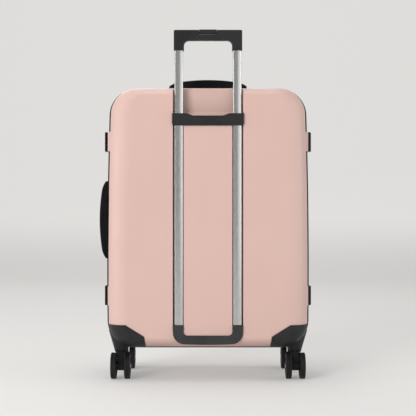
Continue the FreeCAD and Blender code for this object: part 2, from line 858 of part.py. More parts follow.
outer_bar, outer_room, outer_tube = tube("outer_tube", "tube", "tube_bottom", "tube_top")
slider_bar, slider_room, slider_tube = tube("slider", "slider", "slider_bottom", "slider_top")
outer_bar_left = left_copy("outer_bar_left", outer_bar)
slider_bar_left = left_copy("slider_bar_left", slider_bar)
sub_part(outer_tube, "outer_tube_right")
sub_part(left_copy("outer_tube_left_shape", outer_tube), "outer_tube_left")

lock_hole = cylinder("lock_hole", "X", ("-tube_depth", "lock_pin_level"), "lock_pin_radius + running_gap",
                     "tube_reach - run_out", "tube_reach + run_out")
slider_drilled = cut("slider_drilled", slider_tube, lock_hole)
sub_part(slider_drilled, "inner_tube_right")
sub_part(left_copy("inner_tube_left_shape", slider_drilled), "inner_tube_left")

bridge_body = new_body("bridge")
bridge_points = [
    ("-bridge_half + bridge_corner", "bridge_bottom"),
    ("bridge_half - bridge_corner", "bridge_bottom"),
    ("bridge_half", "bridge_bottom + bridge_corner"),
    ("bridge_half", "bridge_top"),
    ("bridge_shoulder", "bridge_top"),
    ("bridge_shoulder - bridge_slope", "bridge_top - bridge_dip"),
    ("-bridge_shoulder + bridge_slope", "bridge_top - bridge_dip"),
    ("-bridge_shoulder", "bridge_top"),
    ("-bridge_half", "bridge_top"),
    ("-bridge_half", "bridge_bottom + bridge_corner"),
]
bridge_sketch = polygon(bridge_body, "bridge_profile", "XZ_Plane", bridge_points, "recess_floor")
pad(bridge_body, bridge_sketch, "bridge_face - recess_floor")
round_edges(bridge_body, "bridge_dip_curve", "bridge_slope / 2", lambda edge: runs_along(edge, Y_AXIS)
            and abs(middle(edge).x) < 55)
round_edges(bridge_body, "bridge_soft", "bridge_edge",
            lambda edge: middle(edge).y < -value("bridge_face") + 0.01)
bridge_neck = box("bridge_neck", ("-channel_outer", "channel_outer"),
                  ("-half_depth", "-recess_floor"), ("bridge_bottom", "bridge_top"))
bridge_flange = box("bridge_flange", ("-bridge_half", "bridge_half"),
                    ("-bridge_face", "-half_depth"), ("bridge_bottom", "bridge_top"))
bridge_outline = common("bridge_outline", bridge_body, fuse("bridge_depths", bridge_neck, bridge_flange))
collar_right = tube_solid("collar_right", "tube_reach", "slider_width + 4 * running_gap",
                          "slider_thick + 4 * running_gap", "tube_top - run_out", "bridge_top + run_out",
                          "slider_corner + 2 * running_gap")
sub_part(cut("bridge_shape", bridge_outline, outer_bar, outer_bar_left, collar_right,
             left_copy("collar_left", collar_right), *screws), "trolley_bridge")

sub_part(cut("base_shape", base_body, outer_bar, outer_bar_left, *screws), "trolley_base")
sub_part(fuse("screws", *screws), "trolley_screws")


# ---------------------------------------------------------------- trolley: grip, button and lock

grip_body = new_body("grip")
grip_leg_inner = "grip_half - grip_leg"
grip_points = [
    ("-grip_half", "grip_bottom"),
    (f"-({grip_leg_inner})", "grip_bottom"),
    (f"-({grip_leg_inner})", "grip_top - grip_bar"),
    (grip_leg_inner, "grip_top - grip_bar"),
    (grip_leg_inner, "grip_bottom"),
    ("grip_half", "grip_bottom"),
    ("grip_half", "grip_top"),
    ("-grip_half", "grip_top"),
]
grip_sketch = polygon(grip_body, "grip_profile", "XZ_Plane", grip_points, "tube_depth - grip_thick / 2")
pad(grip_body, grip_sketch, "grip_thick")
round_edges(grip_body, "grip_inner_corners", "grip_inner_round", lambda edge: runs_along(edge, Y_AXIS)
            and abs(middle(edge).x) < value("grip_half") - 5
            and abs(middle(edge).z - value("grip_top - grip_bar")) < 1)
round_edges(grip_body, "grip_outer_corners", "grip_outer_round", lambda edge: runs_along(edge, Y_AXIS)
            and middle(edge).z > value("grip_top") - 1)
grip_faces = (value("-tube_depth - grip_thick / 2"), value("-tube_depth + grip_thick / 2"))
round_edges(grip_body, "grip_soft", "grip_soft_round", lambda edge: middle(edge).z > value("grip_bottom") + 1
            and any(abs(middle(edge).y - face) < 0.01 for face in grip_faces))

button_low = "grip_top - button_wrap"
button_body = new_body("button")
button_points = [
    ("-button_half + button_taper", button_low),
    ("button_half - button_taper", button_low),
    ("button_half", "grip_top + button_rise"),
    ("-button_half", "grip_top + button_rise"),
]
button_sketch = polygon(button_body, "button_profile", "XZ_Plane", button_points,
                        "tube_depth - button_back")
pad(button_body, button_sketch, "grip_thick / 2 + button_back + button_proud")
round_edges(button_body, "button_soft", "button_edge", lambda edge: middle(edge).z > value("grip_top")
            or middle(edge).y < -value("tube_depth + grip_thick / 2"))
sub_part(button_body, "release_button")

button_well_body = new_body("button_well")
pressed_top = "grip_top + button_rise - button_travel"
well_low = f"{button_low} - button_travel - 0.5"
well_points = [
    ("-button_half + button_taper - button_gap", well_low),
    ("button_half - button_taper + button_gap", well_low),
    ("button_half + button_gap", pressed_top),
    ("button_half + button_gap", "grip_top + run_out"),
    ("-button_half - button_gap", "grip_top + run_out"),
    ("-button_half - button_gap", pressed_top),
]
well_sketch = polygon(button_well_body, "well_profile", "XZ_Plane", well_points,
                      "tube_depth - button_back - button_gap - 0.1")
pad(button_well_body, well_sketch, "grip_thick / 2 + run_out")

YOKE_LOW = f"{button_low} - yoke_height"
yoke_room = box("yoke_room", ("-tube_reach - yoke_half - 1.5", "tube_reach + yoke_half + 1.5"),
                ("-tube_depth - yoke_half - 1", "-tube_depth + yoke_half + 1"),
                (f"{YOKE_LOW} - button_travel - 0.5", f"{button_low} + 0.5"))
rod_rooms = [cylinder("rod_room_right", "Z", ("tube_reach", "-tube_depth"), "rod_radius + 0.6",
                      "slider_top - 1", YOKE_LOW)]
rod_rooms.append(left_copy("rod_room_left", rod_rooms[0]))
sub_part(cut("grip_shape", grip_body, slider_bar, slider_bar_left, button_well_body, yoke_room, *rod_rooms),
         "handle_grip")

yoke = box("yoke", ("-tube_reach - yoke_half", "tube_reach + yoke_half"),
           ("-tube_depth - yoke_half", "-tube_depth + yoke_half"), (YOKE_LOW, button_low))
rod = cylinder("rod_right", "Z", ("tube_reach", "-tube_depth"), "rod_radius", "rod_bottom", f"{YOKE_LOW} + 1")
sub_part(fuse("release_rods_shape", yoke, rod, left_copy("rod_left", rod)), "release_rods")

plug_blank = common("plug_blank", slider_room, box("plug_span",
                    ("tube_reach - slider_width", "tube_reach + slider_width"),
                    ("-tube_depth - slider_thick", "-tube_depth + slider_thick"),
                    ("slider_bottom", "plug_top")))
plug_rod_room = cylinder("plug_rod_room", "Z", ("tube_reach", "-tube_depth"), "rod_radius + running_gap",
                         "slider_bottom - 1", "plug_top + 1")
plug = cut("plug_right", plug_blank, plug_rod_room, lock_hole)
sub_part(plug, "lock_plug_right")
sub_part(left_copy("plug_left", plug), "lock_plug_left")

lock_pin = cylinder("lock_pin_right", "X", ("-tube_depth", "lock_pin_level"), "lock_pin_radius",
                    "tube_reach + 2.5", "tube_reach + slider_width / 2")
sub_part(lock_pin, "lock_pin_right")
sub_part(left_copy("lock_pin_left_shape", lock_pin), "lock_pin_left")


# ---------------------------------------------------------------- carry handles

# the end arcs of a handle leave its middle arc at a tangent
HANDLE_FALL = "(handle_rise - handle_drop - handle_tip)"
HANDLE_END_TURN = f"(atan({HANDLE_FALL} / handle_end) - 2 * atan(handle_drop / (handle_half - handle_end)))"
HANDLE_END_BOW = f"sqrt(handle_end^2 + {HANDLE_FALL}^2) / 2 * tan({HANDLE_END_TURN} / 2)"


def carry_grip(name, depth, spot):
    """Crescent bar of a carry handle; spot turns a place along it and a height into a sketch point."""
    body = new_body(name)
    points = [
        spot("-handle_half", "0"),
        spot("handle_half", "0"),
        spot("handle_half", "handle_tip"),
        spot("handle_half - handle_end", "handle_rise - handle_drop"),
        spot("-handle_half + handle_end", "handle_rise - handle_drop"),
        spot("-handle_half", "handle_tip"),
    ]
    bows = {2: HANDLE_END_BOW, 3: "handle_drop", 4: HANDLE_END_BOW}
    sketch = polygon(body, name + "_profile", "XZ_Plane", points, f"{depth} - handle_breadth / 2", bows)
    pad(body, sketch, "handle_breadth")
    round_edges(body, name + "_soft", "handle_round", lambda edge: edge.Curve.TypeId == "Part::GeomCircle")
    return body


def above_top(along, rise):
    return along, f"handle_base + {rise}"


def beside_case(along, rise):
    return f"-side_handle_base - ({rise})", f"side_handle_level + {along}"


top_grip = carry_grip("top_grip", "top_handle_depth", above_top)
top_legs = both_sides("top_leg", around(TOP_LEG, "leg_width", "0"),
                      around("-top_handle_depth", "leg_breadth", "0"),
                      ("handle_base - leg_length", "handle_base + handle_tip / 2"))
sub_part(fuse("top_handle_shape", top_grip, *top_legs), "top_handle_grip")

side_grip = carry_grip("side_grip", "side_handle_depth", beside_case)
side_legs = [box(f"side_leg_{end}",
                 ("-side_handle_base - handle_tip / 2", "-side_handle_base + leg_length"),
                 around("-side_handle_depth", "leg_breadth", "0"),
                 around(level, "leg_width", "0")) for end, level in SIDE_LEGS.items()]
sub_part(fuse("side_handle_shape", side_grip, *side_legs), "side_handle_grip")

top_bezels = both_sides("top_bezel", around(TOP_LEG, "bezel_breadth", "0"),
                        around("-top_handle_depth", "bezel_half * 2", "0"),
                        ("handle_base - bezel_depth", "handle_base - bezel_gap"))
top_slots = both_sides("top_slot", around(TOP_LEG, "leg_width", "slot_gap"),
                       around("-top_handle_depth", "leg_breadth", "slot_gap"),
                       ("handle_base - leg_length - leg_width / 2", "handle_base + handle_tip"))
top_plates = cut("top_plates", fuse("top_bezels", *top_bezels), skin)
top_mounts = fuse("top_mount_blank", top_plates, *top_sockets("top_guide", "0"))
sub_part(cut("top_mounts_shape", top_mounts, *top_slots), "top_handle_mounts")

side_bezels = [box(f"side_bezel_{end}",
                   ("-side_handle_base + bezel_gap", "-side_handle_base + bezel_depth"),
                   around("-side_handle_depth", "bezel_half * 2", "0"),
                   around(level, "bezel_breadth", "0")) for end, level in SIDE_LEGS.items()]
side_slots = [box(f"side_slot_{end}",
                  ("-side_handle_base - handle_tip", "-side_handle_base + leg_length + leg_width / 2"),
                  around("-side_handle_depth", "leg_breadth", "slot_gap"),
                  around(level, "leg_width", "slot_gap")) for end, level in SIDE_LEGS.items()]
side_plates = cut("side_plates", fuse("side_bezels", *side_bezels), skin)
side_mounts = fuse("side_mount_blank", side_plates, *side_sockets("side_guide", "0"))
sub_part(cut("side_mounts_shape", side_mounts, *side_slots), "side_handle_mounts")


# ---------------------------------------------------------------- hinges and latches

def knuckle(name, level, index, radius):
    """One of the barrel's segments, counted from the bottom, with a gap at each end."""
    pitch = "2 * fitting_half / 5"
    low = f"{level} - fitting_half + {index} * {pitch}"
    return cylinder(name, "Z", ("hinge_reach", "0"), radius,
                    f"{low} + knuckle_gap", f"{low} + {pitch} - knuckle_gap")


def leaf(name, level, kept, spare):
    """Rear hinge leaf: a plate over the frame's side with the knuckles in kept."""
    pitch = "2 * fitting_half / 5"
    joined = [box(name + "_plate", ("case_half_width - plate_reach", "leaf_face"),
                  ("-leaf_depth", "-fitting_gap"),
                  (f"{level} - fitting_half", f"{level} + fitting_half"))]
    rooms = []
    for index in kept:
        low = f"{level} - fitting_half + {index} * {pitch}"
        joined.append(knuckle(f"{name}_knuckle{index}", level, index, "knuckle_radius"))
        joined.append(box(f"{name}_web{index}", ("case_half_width + frame_proud + 1", "hinge_reach"),
                          ("-2 * knuckle_radius", "0"),
                          (f"{low} + knuckle_gap", f"{low} + {pitch} - knuckle_gap")))
    for index in spare:
        low = f"{level} - fitting_half + {index} * {pitch}"
        rooms.append(cylinder(f"{name}_room{index}", "Z", ("hinge_reach", "0"), "knuckle_radius + 0.4",
                              low, f"{low} + {pitch}"))
    bore = cylinder(name + "_bore", "Z", ("hinge_reach", "0"), "hinge_pin + running_gap",
                    f"{level} - fitting_half - 1", f"{level} + fitting_half + 1")
    return cut(name, fuse(name + "_blank", *joined), bore, *rooms)


front_ring = front_copy("front_ring", frame_ring)
front_padded_skin = front_copy("front_padded_skin", padded_skin)
hinge_pins = []
for word in ("upper", "lower"):
    level = f"fitting_{word}"
    rear_knuckles = [0, 2, 4]
    front_knuckles = [1, 3]
    rear_leaf = leaf(f"hinge_rear_{word}", level, rear_knuckles, front_knuckles)
    sub_part(cut(f"hinge_rear_{word}_shape", rear_leaf, frame_ring, padded_skin), f"hinge_leaf_rear_{word}")
    front_leaf = leaf(f"hinge_front_{word}", level, front_knuckles, rear_knuckles)
    turned = mirror(f"hinge_front_{word}_turned", front_leaf, Vector(0, 1, 0))
    sub_part(cut(f"hinge_front_{word}_shape", turned, front_ring, front_padded_skin),
             f"hinge_leaf_front_{word}")
    hinge_pins.append(cylinder(f"hinge_pin_{word}", "Z", ("hinge_reach", "0"), "hinge_pin",
                               f"{level} - fitting_half - 0.4", f"{level} + fitting_half + 0.4"))
sub_part(fuse("hinge_pins_shape", *hinge_pins), "hinge_pins")

latch_pins = []
for word in ("upper", "lower"):
    level = f"fitting_{word}"
    low = f"{level} - fitting_half"
    high = f"{level} + fitting_half"
    keeper_plate = box(f"keeper_plate_{word}", ("-fitting_face", "-case_half_width + plate_reach"),
                       ("-leaf_depth", "-fitting_gap"), (low, high))
    keeper_ridge = box(f"keeper_ridge_{word}", ("-fitting_face - 0.7", "-fitting_face"),
                       ("-11", "-9"), (f"{low} + 6", f"{high} - 6"))
    keeper_blank = fuse(f"keeper_blank_{word}", keeper_plate, keeper_ridge)
    sub_part(cut(f"keeper_{word}", keeper_blank, frame_ring, padded_skin), f"latch_keeper_{word}")

    base_plate = box(f"latch_plate_{word}", ("-fitting_face", "-case_half_width + plate_reach"),
                     ("fitting_gap + seam_gap", "leaf_depth"), (low, high))
    ears = [box(f"latch_ear_{word}_{end}", ("-lever_face", "-fitting_face"),
                ("lever_pivot - ear_half", "lever_pivot + ear_half"), span)
            for end, span in {"low": (low, f"{low} + ear_height"),
                              "high": (f"{high} - ear_height", high)}.items()]
    pin_bore = cylinder(f"latch_bore_{word}", "Z", ("-lever_face + latch_eye", "lever_pivot"), "latch_pin",
                        f"{low} + 1", f"{high} - 1")
    latch_blank = fuse(f"latch_base_{word}_blank", base_plate, *ears)
    sub_part(cut(f"latch_base_{word}_shape", latch_blank, pin_bore, front_ring, front_padded_skin),
             f"latch_base_{word}")
    latch_pins.append(cylinder(f"latch_pin_{word}", "Z", ("-lever_face + latch_eye", "lever_pivot"),
                               "latch_pin", f"{low} + 1", f"{high} - 1"))

    lever_body = new_body(f"lever_{word}")
    inner_face = "-lever_face + lever_thick"
    lever_points = [
        ("-lever_face", "-lever_near"),
        (inner_face, "-lever_near"),
        (f"{inner_face} + 0.2", "-lever_near + 3"),
        (inner_face, "-lever_near + 4.5"),
        (inner_face, "lever_pivot + lever_rim"),
        ("-lever_face", "lever_pivot + lever_rim"),
    ]
    lever_sketch = polygon(lever_body, f"lever_{word}_profile", "XY_Plane", lever_points, low)
    pad(lever_body, lever_sketch, "2 * fitting_half")
    ear_rooms = [box(f"ear_room_{word}_{end}", ("-lever_face - 2", "-fitting_face"),
                     ("lever_pivot - ear_half - 1", "lever_pivot + ear_half + 2"), span)
                 for end, span in {"low": (f"{low} - 1", f"{low} + ear_height + 0.4"),
                                   "high": (f"{high} - ear_height - 0.4", f"{high} + 1")}.items()]
    eye_centre = ("-lever_face + latch_eye", "lever_pivot")
    lever_bore = cylinder(f"lever_bore_{word}", "Z", eye_centre, "latch_pin + running_gap", low, high)
    lever_eye = cylinder(f"lever_eye_{word}", "Z", eye_centre, "latch_eye",
                         f"{low} + ear_height + 0.4", f"{high} - ear_height - 0.4")
    lever_blank = fuse(f"lever_{word}_blank", lever_body, lever_eye)
    sub_part(cut(f"lever_{word}_shape", lever_blank, lever_bore, *ear_rooms), f"latch_lever_{word}")
sub_part(fuse("latch_pins_shape", *latch_pins), "latch_pins")


# ---------------------------------------------------------------- casters

def fork():
    """Swivel fork of the rear right caster, with its kingpin."""
    hood = doc.addObject("Part::Cone", "fork_hood_cone")
    bind(hood, "Radius1", "fork_hood_low")
    bind(hood, "Radius2", "fork_hood")
    bind(hood, "Height", "fork_hood_top - fork_hood_bottom")
    place(hood, "caster_reach", "-swivel_depth", "fork_hood_bottom")
    kingpin = cylinder("kingpin", "Z", ("caster_reach", "-swivel_depth"), "kingpin_radius",
                       "fork_hood_top - 1", "kingpin_top")
    x_span = ("caster_reach - fork_width / 2", "caster_reach + fork_width / 2")
    boss = cylinder("fork_boss_disc", "X", ("-axle_depth", "wheel_radius"), "fork_boss", *x_span)
    side_view = new_body("fork_side_view")
    side_points = [
        ("-axle_depth - fork_boss", "wheel_radius + 1"),
        ("-axle_depth + fork_boss", "wheel_radius + 1"),
        ("-swivel_depth + 11", "fork_hood_bottom - 5"),
        ("-swivel_depth + 11", "fork_hood_bottom + 1"),
        ("-swivel_depth - 12", "fork_hood_bottom + 1"),
        ("-swivel_depth - 14", "fork_hood_bottom - 6"),
    ]
    pad(side_view, polygon(side_view, "fork_side_profile", "YZ_Plane", side_points, x_span[0]), "fork_width")
    rear_view = new_body("fork_rear_view")
    rear_points = [
        ("caster_reach - fork_width / 2", "wheel_radius - 2"),
        ("caster_reach + fork_width / 2", "wheel_radius - 2"),
        ("caster_reach + fork_width / 2", "wheel_radius + fork_boss / 2"),
        ("caster_reach + fork_waist / 2", "wheel_radius + fork_boss"),
        ("caster_reach + fork_waist / 2", "fork_hood_bottom - 12"),
        ("caster_reach + fork_width / 2", "fork_hood_bottom - 2"),
        ("caster_reach + fork_width / 2", "fork_hood_bottom + 2"),
        ("caster_reach - fork_width / 2", "fork_hood_bottom + 2"),
        ("caster_reach - fork_width / 2", "fork_hood_bottom - 2"),
        ("caster_reach - fork_waist / 2", "fork_hood_bottom - 12"),
        ("caster_reach - fork_waist / 2", "wheel_radius + fork_boss"),
        ("caster_reach - fork_width / 2", "wheel_radius + fork_boss / 2"),
    ]
    pad(rear_view, polygon(rear_view, "fork_rear_profile", "XZ_Plane", rear_points, "swivel_depth - 30"), "80")
    round_edges(rear_view, "fork_waist_curves", "fork_waist_round", lambda edge: runs_along(edge, Y_AXIS)
                and value("wheel_radius") + 2 < middle(edge).z < value("fork_hood_bottom"))
    web = common("fork_web", side_view, rear_view)
    axle_bore = cylinder("fork_bore", "X", ("-axle_depth", "wheel_radius"), "axle_radius",
                         f"{x_span[0]} - 1", f"{x_span[1]} + 1")
    return cut("fork_shape", fuse("fork_blank", hood, kingpin, boss, web), axle_bore)


def axle():
    """Axle through the fork and both wheels, with a cap at each end."""
    reach = "wheel_offset + wheel_width / 2 + axle_gap"
    centre = ("-axle_depth", "wheel_radius")
    shaft = cylinder("axle_shaft", "X", centre, "axle_radius",
                     f"caster_reach - ({reach})", f"caster_reach + {reach}")
    caps = [cylinder("axle_cap_outer", "X", centre, "axle_cap", f"caster_reach + {reach}",
                     f"caster_reach + {reach} + axle_cap_thick"),
            cylinder("axle_cap_inner", "X", centre, "axle_cap", f"caster_reach - ({reach}) - axle_cap_thick",
                     f"caster_reach - ({reach})")]
    return fuse("axle_shape", shaft, *caps)


def wheel(name, side):
    """Wheel on one side of the fork, turned about the axle: a dished hub and a rounded tyre."""
    body = new_body(name)
    half = "wheel_width / 2"
    centre = f"caster_reach + ({side}) * wheel_offset"
    outline_points = [
        (f"{centre} - {half}", "axle_radius + running_gap"),
        (f"{centre} + {half}", "axle_radius + running_gap"),
        (f"{centre} + {half}", "dish_inner - dish_slope"),
        (f"{centre} + {half} - dish_depth", "dish_inner"),
        (f"{centre} + {half} - dish_depth", "dish_outer"),
        (f"{centre} + {half}", "dish_outer + dish_slope"),
        (f"{centre} + {half}", "wheel_radius"),
        (f"{centre} - {half}", "wheel_radius"),
        (f"{centre} - {half}", "dish_outer + dish_slope"),
        (f"{centre} - {half} + dish_depth", "dish_outer"),
        (f"{centre} - {half} + dish_depth", "dish_inner"),
        (f"{centre} - {half}", "dish_inner - dish_slope"),
    ]
    sketch = polygon(body, name + "_section", "XZ_Plane", outline_points)
    turn = body.newObject("PartDesign::Revolution", name + "_turn")
    turn.Profile = sketch
    turn.ReferenceAxis = (sketch, ["H_Axis"])
    turn.Angle = 360
    doc.recompute()
    round_edges(body, name + "_tyre", "tyre_round", lambda edge: edge.Curve.TypeId == "Part::GeomCircle"
                and edge.Curve.Radius > value("wheel_radius") - 1)
    place(body, "0", "-axle_depth", "wheel_radius")
    return body


caster_pieces = {
    "caster_fork_{end}_{side}": fork(),
    "caster_axle_{end}_{side}": axle(),
    "wheel_{end}_{side}_outer": wheel("wheel_outer", "1"),
    "wheel_{end}_{side}_inner": wheel("wheel_inner", "-1"),
}
for pattern, rear_right in caster_pieces.items():
    stem = pattern.replace("{", "").replace("}", "")
    rear_left = left_copy(stem + "_rl", rear_right)
    sub_part(rear_right, pattern.format(end="rear", side="right"))
    sub_part(rear_left, pattern.format(end="rear", side="left"))
    for side, source in (("right", rear_right), ("left", rear_left)):
        front = mirror(f"{stem}_front_{side}", source, Vector(0, 1, 0), "seam_gap / 2")
        sub_part(front, pattern.format(end="front", side=side))


# ---------------------------------------------------------------- checks and files

doc.recompute()
for item in doc.Objects:
    if "Invalid" in item.State or "Error" in item.State:
        raise RuntimeError(f"{item.Label} did not recompute: {item.State}")
for item in sub_parts:
    if item.Shape.isNull() or not item.Shape.isValid() or not item.Shape.Solids:
        raise RuntimeError(f"{item.Label} has no valid solid")

os.makedirs("parts", exist_ok=True)
for item in sub_parts:
    item.Shape.exportStep(f"parts/{item.Label}.step")
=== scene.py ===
import math

import bmesh
import bpy
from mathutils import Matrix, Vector


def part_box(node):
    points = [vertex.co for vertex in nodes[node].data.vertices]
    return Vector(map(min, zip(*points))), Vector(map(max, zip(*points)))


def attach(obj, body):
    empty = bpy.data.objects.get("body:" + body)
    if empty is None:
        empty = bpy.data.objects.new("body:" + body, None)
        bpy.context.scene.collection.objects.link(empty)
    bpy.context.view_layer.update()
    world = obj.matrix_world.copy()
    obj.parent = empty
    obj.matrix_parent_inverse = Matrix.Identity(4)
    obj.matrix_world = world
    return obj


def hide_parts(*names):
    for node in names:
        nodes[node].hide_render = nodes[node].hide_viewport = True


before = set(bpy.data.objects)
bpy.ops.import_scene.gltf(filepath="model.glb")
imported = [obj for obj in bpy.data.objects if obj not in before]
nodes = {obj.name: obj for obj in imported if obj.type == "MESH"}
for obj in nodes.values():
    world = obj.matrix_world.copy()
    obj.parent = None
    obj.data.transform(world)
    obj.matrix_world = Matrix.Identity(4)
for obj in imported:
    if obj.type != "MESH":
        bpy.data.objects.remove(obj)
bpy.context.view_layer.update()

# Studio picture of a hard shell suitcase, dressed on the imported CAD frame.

ENDS = ("rear", "front")
SIDES = ("left", "right")
MM = 0.001

# ---------------------------------------------------------------- node helpers

BEVEL_SAMPLES = 4
# cosine of the angle between the true and the rounded normal, where wear starts and is full
EDGE_STARTS = 0.97
EDGE_FULL = 0.75
# most of a noise field lies between these
NOISE_LOW = 0.3
NOISE_HIGH = 0.7


def add_node(tree, kind, **settings):
    """New shader node; settings are its properties, by name."""
    node = tree.nodes.new(kind)
    for key, setting in settings.items():
        setattr(node, key, setting)
    return node


def feed(tree, socket, source):
    """Set a socket to a number or colour, or link it to another node's output."""
    if isinstance(source, bpy.types.NodeSocket):
        tree.links.new(source, socket)
    else:
        socket.default_value = source


def coordinates(tree, stretch=(1, 1, 1)):
    """Object coordinates, in metres at rest, multiplied by stretch."""
    place = add_node(tree, "ShaderNodeTexCoord")
    scaled = add_node(tree, "ShaderNodeMapping")
    scaled.inputs["Scale"].default_value = stretch
    tree.links.new(place.outputs["Object"], scaled.inputs["Vector"])
    return scaled.outputs["Vector"]


def noise_field(tree, size, stretch=(1, 1, 1), detail=3.0, roughness=0.55):
    """Noise between about 0.3 and 0.7 whose patches are size metres across."""
    node = add_node(tree, "ShaderNodeTexNoise")
    feed(tree, node.inputs["Vector"], coordinates(tree, stretch))
    feed(tree, node.inputs["Scale"], 1 / size)
    feed(tree, node.inputs["Detail"], detail)
    feed(tree, node.inputs["Roughness"], roughness)
    return node.outputs["Fac"]


def cells(tree, size):
    """Distance to the nearest of a scatter of points, size metres apart."""
    node = add_node(tree, "ShaderNodeTexVoronoi")
    feed(tree, node.inputs["Vector"], coordinates(tree))
    feed(tree, node.inputs["Scale"], 1 / size)
    return node.outputs["Distance"]


def remap(tree, source, low, high, out_low=0.0, out_high=1.0):
    """Take source from the range low to high into out_low to out_high, eased at both ends."""
    node = add_node(tree, "ShaderNodeMapRange", interpolation_type="SMOOTHSTEP")
    feed(tree, node.inputs["Value"], source)
    ends = {"From Min": low, "From Max": high, "To Min": out_low, "To Max": out_high}
    for name, number in ends.items():
        feed(tree, node.inputs[name], number)
    return node.outputs["Result"]


def maths(tree, operation, first, second):
    """One arithmetic step on two numbers or outputs."""
    node = add_node(tree, "ShaderNodeMath", operation=operation)
    feed(tree, node.inputs[0], first)
    feed(tree, node.inputs[1], second)
    return node.outputs["Value"]


def blend_colour(tree, factor, first, second):
    """Mix of two colours; each is a tuple or another node's output."""
    node = add_node(tree, "ShaderNodeMix", data_type="RGBA")
    feed(tree, node.inputs["Factor"], factor)
    for socket, colour in ((node.inputs["A"], first), (node.inputs["B"], second)):
        feed(tree, socket, colour if isinstance(colour, bpy.types.NodeSocket) else (*colour, 1))
    return node.outputs["Result"]


def axis_part(tree, axis):
    """One of the object coordinates, in metres."""
    split = add_node(tree, "ShaderNodeSeparateXYZ")
    tree.links.new(coordinates(tree), split.inputs[0])
    return split.outputs[axis]


def rounded_normal(tree, radius):
    """Normal with the sharp edges of the mesh rounded in shading."""
    node = add_node(tree, "ShaderNodeBevel", samples=BEVEL_SAMPLES)
    feed(tree, node.inputs["Radius"], radius)
    return node.outputs["Normal"]


def edge_mask(tree, rounded):
    """Zero on flats and up to one along sharp edges."""
    geometry = add_node(tree, "ShaderNodeNewGeometry")
    product = add_node(tree, "ShaderNodeVectorMath", operation="DOT_PRODUCT")
    tree.links.new(rounded, product.inputs[0])
    tree.links.new(geometry.outputs["Normal"], product.inputs[1])
    return remap(tree, product.outputs["Value"], EDGE_STARTS, EDGE_FULL)


def bump(tree, height, distance, strength, normal=None):
    """Normal that follows a height field distance metres deep."""
    node = add_node(tree, "ShaderNodeBump")
    feed(tree, node.inputs["Height"], height)
    feed(tree, node.inputs["Distance"], distance)
    feed(tree, node.inputs["Strength"], strength)
    if normal is not None:
        tree.links.new(normal, node.inputs["Normal"])
    return node.outputs["Normal"]


def new_material(name, colour, roughness, metallic=0.0, **extra):
    """Material with a Principled shader; extra sets its other sockets, with _ for a space."""
    made = bpy.data.materials.new(name)
    made.use_nodes = True
    made.diffuse_color = (*colour, 1)
    shader = made.node_tree.nodes["Principled BSDF"]
    shader.inputs["Base Color"].default_value = (*colour, 1)
    shader.inputs["Roughness"].default_value = roughness
    shader.inputs["Metallic"].default_value = metallic
    for key, number in extra.items():
        shader.inputs[key.replace("_", " ")].default_value = number
    return made, made.node_tree, shader


# ---------------------------------------------------------------- materials

SHELL_PINK = (0.562, 0.382, 0.340)
SHELL_DEEPER = (0.550, 0.371, 0.329)
SHELL_SCUFFED = (0.68, 0.52, 0.48)
SHELL_WORN = (0.70, 0.52, 0.47)
SHELL_EDGE = 0.8 * MM
DRIFT_PATCH = 0.22
STREAK_SIZE = 4 * MM
STREAK_STRETCH = (1, 1, 0.12)
SCUFFS_START = 0.17
SCUFFS_FULL = 0.07
HAZE_PATCH = 0.035
HAZE_LOW = 0.40
HAZE_HIGH = 0.52
PEEL_SIZE = 1.1 * MM
PEEL_DEPTH = 0.02 * MM


def shell_material():
    """Satin polycarbonate with a faint orange peel, haze and light scuffs near the floor."""
    made, tree, shader = new_material("pink_shell", SHELL_PINK, 0.46, Coat_Weight=0.05, Coat_Roughness=0.4)
    rounded = rounded_normal(tree, SHELL_EDGE)
    drift = noise_field(tree, DRIFT_PATCH, detail=2)
    tone = blend_colour(tree, remap(tree, drift, 0.35, 0.65), SHELL_PINK, SHELL_DEEPER)
    streaks = noise_field(tree, STREAK_SIZE, stretch=STREAK_STRETCH, detail=4)
    low_down = remap(tree, axis_part(tree, "Z"), SCUFFS_START, SCUFFS_FULL)
    scuffs = maths(tree, "MULTIPLY", remap(tree, streaks, 0.6, 0.72), low_down)
    tone = blend_colour(tree, maths(tree, "MULTIPLY", scuffs, 0.35), tone, SHELL_SCUFFED)
    worn = maths(tree, "MULTIPLY", edge_mask(tree, rounded), 0.25)
    tone = blend_colour(tree, worn, tone, SHELL_WORN)
    tree.links.new(tone, shader.inputs["Base Color"])
    haze = remap(tree, noise_field(tree, HAZE_PATCH, detail=4), NOISE_LOW, NOISE_HIGH, HAZE_LOW, HAZE_HIGH)
    tree.links.new(haze, shader.inputs["Roughness"])
    peel = noise_field(tree, PEEL_SIZE, detail=1)
    tree.links.new(bump(tree, peel, PEEL_DEPTH, 0.6, rounded), shader.inputs["Normal"])
    return made


MOULDED_EDGE = 0.6 * MM
MOULDED_RELIEF = 0.03 * MM
WEAR_PATCH = 0.012
TONE_PATCH = 0.05
SHEEN_PATCH = 0.02


